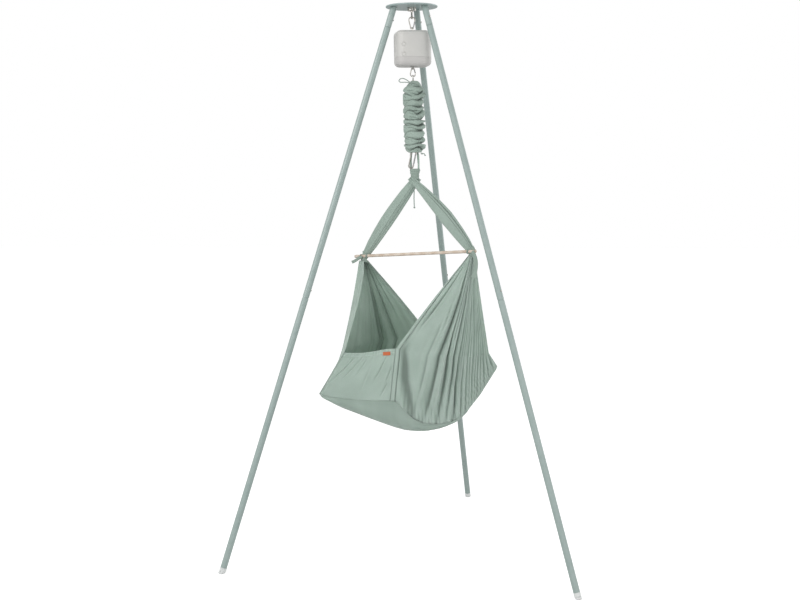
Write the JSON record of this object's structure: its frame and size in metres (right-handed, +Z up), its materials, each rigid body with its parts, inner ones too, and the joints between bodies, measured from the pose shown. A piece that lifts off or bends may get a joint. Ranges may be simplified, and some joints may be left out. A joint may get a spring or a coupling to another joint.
{
  "type": "hanging baby cradle",
  "caption": "Cloth baby cradle hung from a spreader bar, a covered coil spring and a small drive unit under a sage tripod stand with snap-button legs.",
  "frame": {"origin": "floor point under the middle of the bounding box", "axes": "+Z up, +Y towards the back leg, +X to the right of the front view"},
  "size_m": [1.2432, 1.0799, 1.905],
  "materials": {
    "sage_enamel": "satin",
    "steel": "satin",
    "dark_steel": "satin",
    "clear_plastic": "satin",
    "housing": "matte",
    "housing_base": "matte",
    "board": "matte",
    "black_plastic": "matte",
    "sage_cloth": "matte",
    "shade_cloth": "matte",
    "cord": "matte",
    "mattress": "matte",
    "beech": "satin",
    "orange": "matte"
  },
  "bodies": {
    "stand": {"top_plate": "sage_enamel", "swivel_cup": "steel", "right_leg_socket": "sage_enamel", "right_upper_leg": "sage_enamel", "right_lower_leg": "sage_enamel", "right_foot": "clear_plastic", "back_leg_socket": "sage_enamel", "back_upper_leg": "sage_enamel", "back_lower_leg": "sage_enamel", "back_foot": "clear_plastic", "left_leg_socket": "sage_enamel", "left_upper_leg": "sage_enamel", "left_lower_leg": "sage_enamel", "left_foot": "clear_plastic"},
    "right_socket_button_body": {"right_socket_button": "steel"},
    "right_seam_button_body": {"right_seam_button": "steel"},
    "back_socket_button_body": {"back_socket_button": "steel"},
    "back_seam_button_body": {"back_seam_button": "steel"},
    "left_socket_button_body": {"left_socket_button": "steel"},
    "left_seam_button_body": {"left_seam_button": "steel"},
    "swivel": {"swivel_eye": "steel"},
    "upper_link_body": {"upper_link": "steel"},
    "upper_gate": {"upper_link_gate": "dark_steel"},
    "drive": {"drive_front_shell": "housing", "drive_rear_shell": "housing", "drive_base_cover": "housing_base", "drive_frame": "dark_steel", "gear_motor": "dark_steel", "control_board": "board", "power_socket": "black_plastic", "drive_top_eye": "steel"},
    "upper_button": {"upper_drive_button": "housing"},
    "lower_button": {"lower_drive_button": "housing"},
    "rod": {"pull_rod": "steel"},
    "crank": {"crank_arm": "steel"},
    "lower_link_body": {"lower_link": "steel"},
    "lower_gate": {"lower_link_gate": "dark_steel"},
    "spring_head": {"spring_top_eye": "steel", "coil_spring": "steel", "spring_cover": "sage_cloth", "top_drawstring": "cord"},
    "spring_foot": {"spring_bottom_eye": "steel", "lower_drawstring": "cord"},
    "cradle": {"hanging_loop": "sage_cloth", "cradle_link": "steel", "loop_wrap": "shade_cloth", "left_strap": "sage_cloth", "right_strap": "sage_cloth", "hanging_string": "cord", "spreader_bar": "beech", "left_bar_tie": "shade_cloth", "right_bar_tie": "shade_cloth", "left_end_cloth": "sage_cloth", "right_end_cloth": "sage_cloth", "near_side_panel": "sage_cloth", "far_side_panel": "sage_cloth", "base_pocket": "sage_cloth", "mattress": "mattress", "tag": "orange"},
    "cradle_gate": {"cradle_link_gate": "dark_steel"}
  },
  "joints": [
    {"name": "right_socket_button_press", "type": "slide", "parent": "stand", "child": "right_socket_button_body", "axis": [-0.8205, 0.4737, -0.3201], "range_m": [0, 0.0035], "stiffness_N_per_m": 900},
    {"name": "right_seam_button_press", "type": "slide", "parent": "stand", "child": "right_seam_button_body", "axis": [-0.8205, 0.4737, -0.3201], "range_m": [0, 0.0035], "stiffness_N_per_m": 900},
    {"name": "back_socket_button_press", "type": "slide", "parent": "stand", "child": "back_socket_button_body", "axis": [-1, 0, 0], "range_m": [0, 0.0035], "stiffness_N_per_m": 900},
    {"name": "back_seam_button_press", "type": "slide", "parent": "stand", "child": "back_seam_button_body", "axis": [-1, 0, 0], "range_m": [0, 0.0035], "stiffness_N_per_m": 900},
    {"name": "left_socket_button_press", "type": "slide", "parent": "stand", "child": "left_socket_button_body", "axis": [-0.8205, -0.4737, 0.3201], "range_m": [0, 0.0035], "stiffness_N_per_m": 900},
    {"name": "left_seam_button_press", "type": "slide", "parent": "stand", "child": "left_seam_button_body", "axis": [-0.8205, -0.4737, 0.3201], "range_m": [0, 0.0035], "stiffness_N_per_m": 900},
    {"name": "swivel_turn", "type": "hinge", "parent": "stand", "child": "swivel", "pos_m": [0, -0.176, 1.893], "axis": [0, 0, 1], "continuous": true},
    {"name": "upper_link_swing", "type": "hinge", "parent": "swivel", "child": "upper_link_body", "pos_m": [0, -0.176, 1.8637], "axis": [0.0349, 0.9994, 0], "range_deg": [-5, 5]},
    {"name": "upper_gate_open", "type": "hinge", "parent": "upper_link_body", "child": "upper_gate", "pos_m": [0.0048, -0.17462, 1.83538], "axis": [0.2756, -0.9613, 0], "range_deg": [0, 25], "stiffness_Nm_per_rad": 0.03, "springref_deg": -11.46},
    {"name": "drive_swing", "type": "hinge", "parent": "upper_link_body", "child": "drive", "pos_m": [0, -0.176, 1.8282], "axis": [0.9613, 0.2756, 0], "range_deg": [-5, 5]},
    {"name": "upper_drive_button_press", "type": "slide", "parent": "drive", "child": "upper_button", "axis": [-0.4384, 0.8988, 0], "range_m": [0, 0.0015], "stiffness_N_per_m": 800},
    {"name": "lower_drive_button_press", "type": "slide", "parent": "drive", "child": "lower_button", "axis": [-0.4384, 0.8988, 0], "range_m": [0, 0.0015], "stiffness_N_per_m": 800},
    {"name": "rod_stroke", "type": "slide", "parent": "drive", "child": "rod", "axis": [0, 0, 1], "range_m": [-0.007, 0.007]},
    {"name": "crank_turn", "type": "hinge", "parent": "drive", "child": "crank", "pos_m": [-0.02642, -0.17887, 1.7618], "axis": [0.4384, -0.8988, 0], "range_deg": [-16.5, 16.5]},
    {"name": "lower_link_swing", "type": "hinge", "parent": "rod", "child": "lower_link_body", "pos_m": [0, -0.176, 1.6943], "axis": [0.2756, -0.9613, 0], "range_deg": [-5, 5]},
    {"name": "lower_gate_open", "type": "hinge", "parent": "lower_link_body", "child": "lower_gate", "pos_m": [0.00735, -0.17389, 1.68284], "axis": [0.2756, -0.9613, 0], "range_deg": [0, 25], "stiffness_Nm_per_rad": 0.03, "springref_deg": -11.46},
    {"name": "spring_swing", "type": "hinge", "parent": "lower_link_body", "child": "spring_head", "pos_m": [0, -0.176, 1.6696], "axis": [-0.9613, -0.2756, 0], "range_deg": [-4, 4]},
    {"name": "spring_bounce", "type": "slide", "parent": "spring_head", "child": "spring_foot", "axis": [0, 0, -1], "range_m": [-0.03, 0.15], "stiffness_N_per_m": 450, "springref_m": -0.0406, "deforming": ["coil_spring", "spring_cover"]},
    {"name": "cradle_rock", "type": "hinge", "parent": "spring_foot", "child": "cradle", "pos_m": [0, -0.176, 1.4236], "axis": [-0.2756, 0.9613, 0], "range_deg": [-7, 7]},
    {"name": "cradle_gate_open", "type": "hinge", "parent": "cradle", "child": "cradle_gate", "pos_m": [-0.0014, -0.18472, 1.37403], "axis": [0.2756, -0.9613, 0], "range_deg": [0, 16], "stiffness_Nm_per_rad": 0.03, "springref_deg": -11.46}
  ],
  "couplings": [
    {"joint": "crank_turn", "follows": "rod_stroke", "rad_per_m": 40}
  ]
}
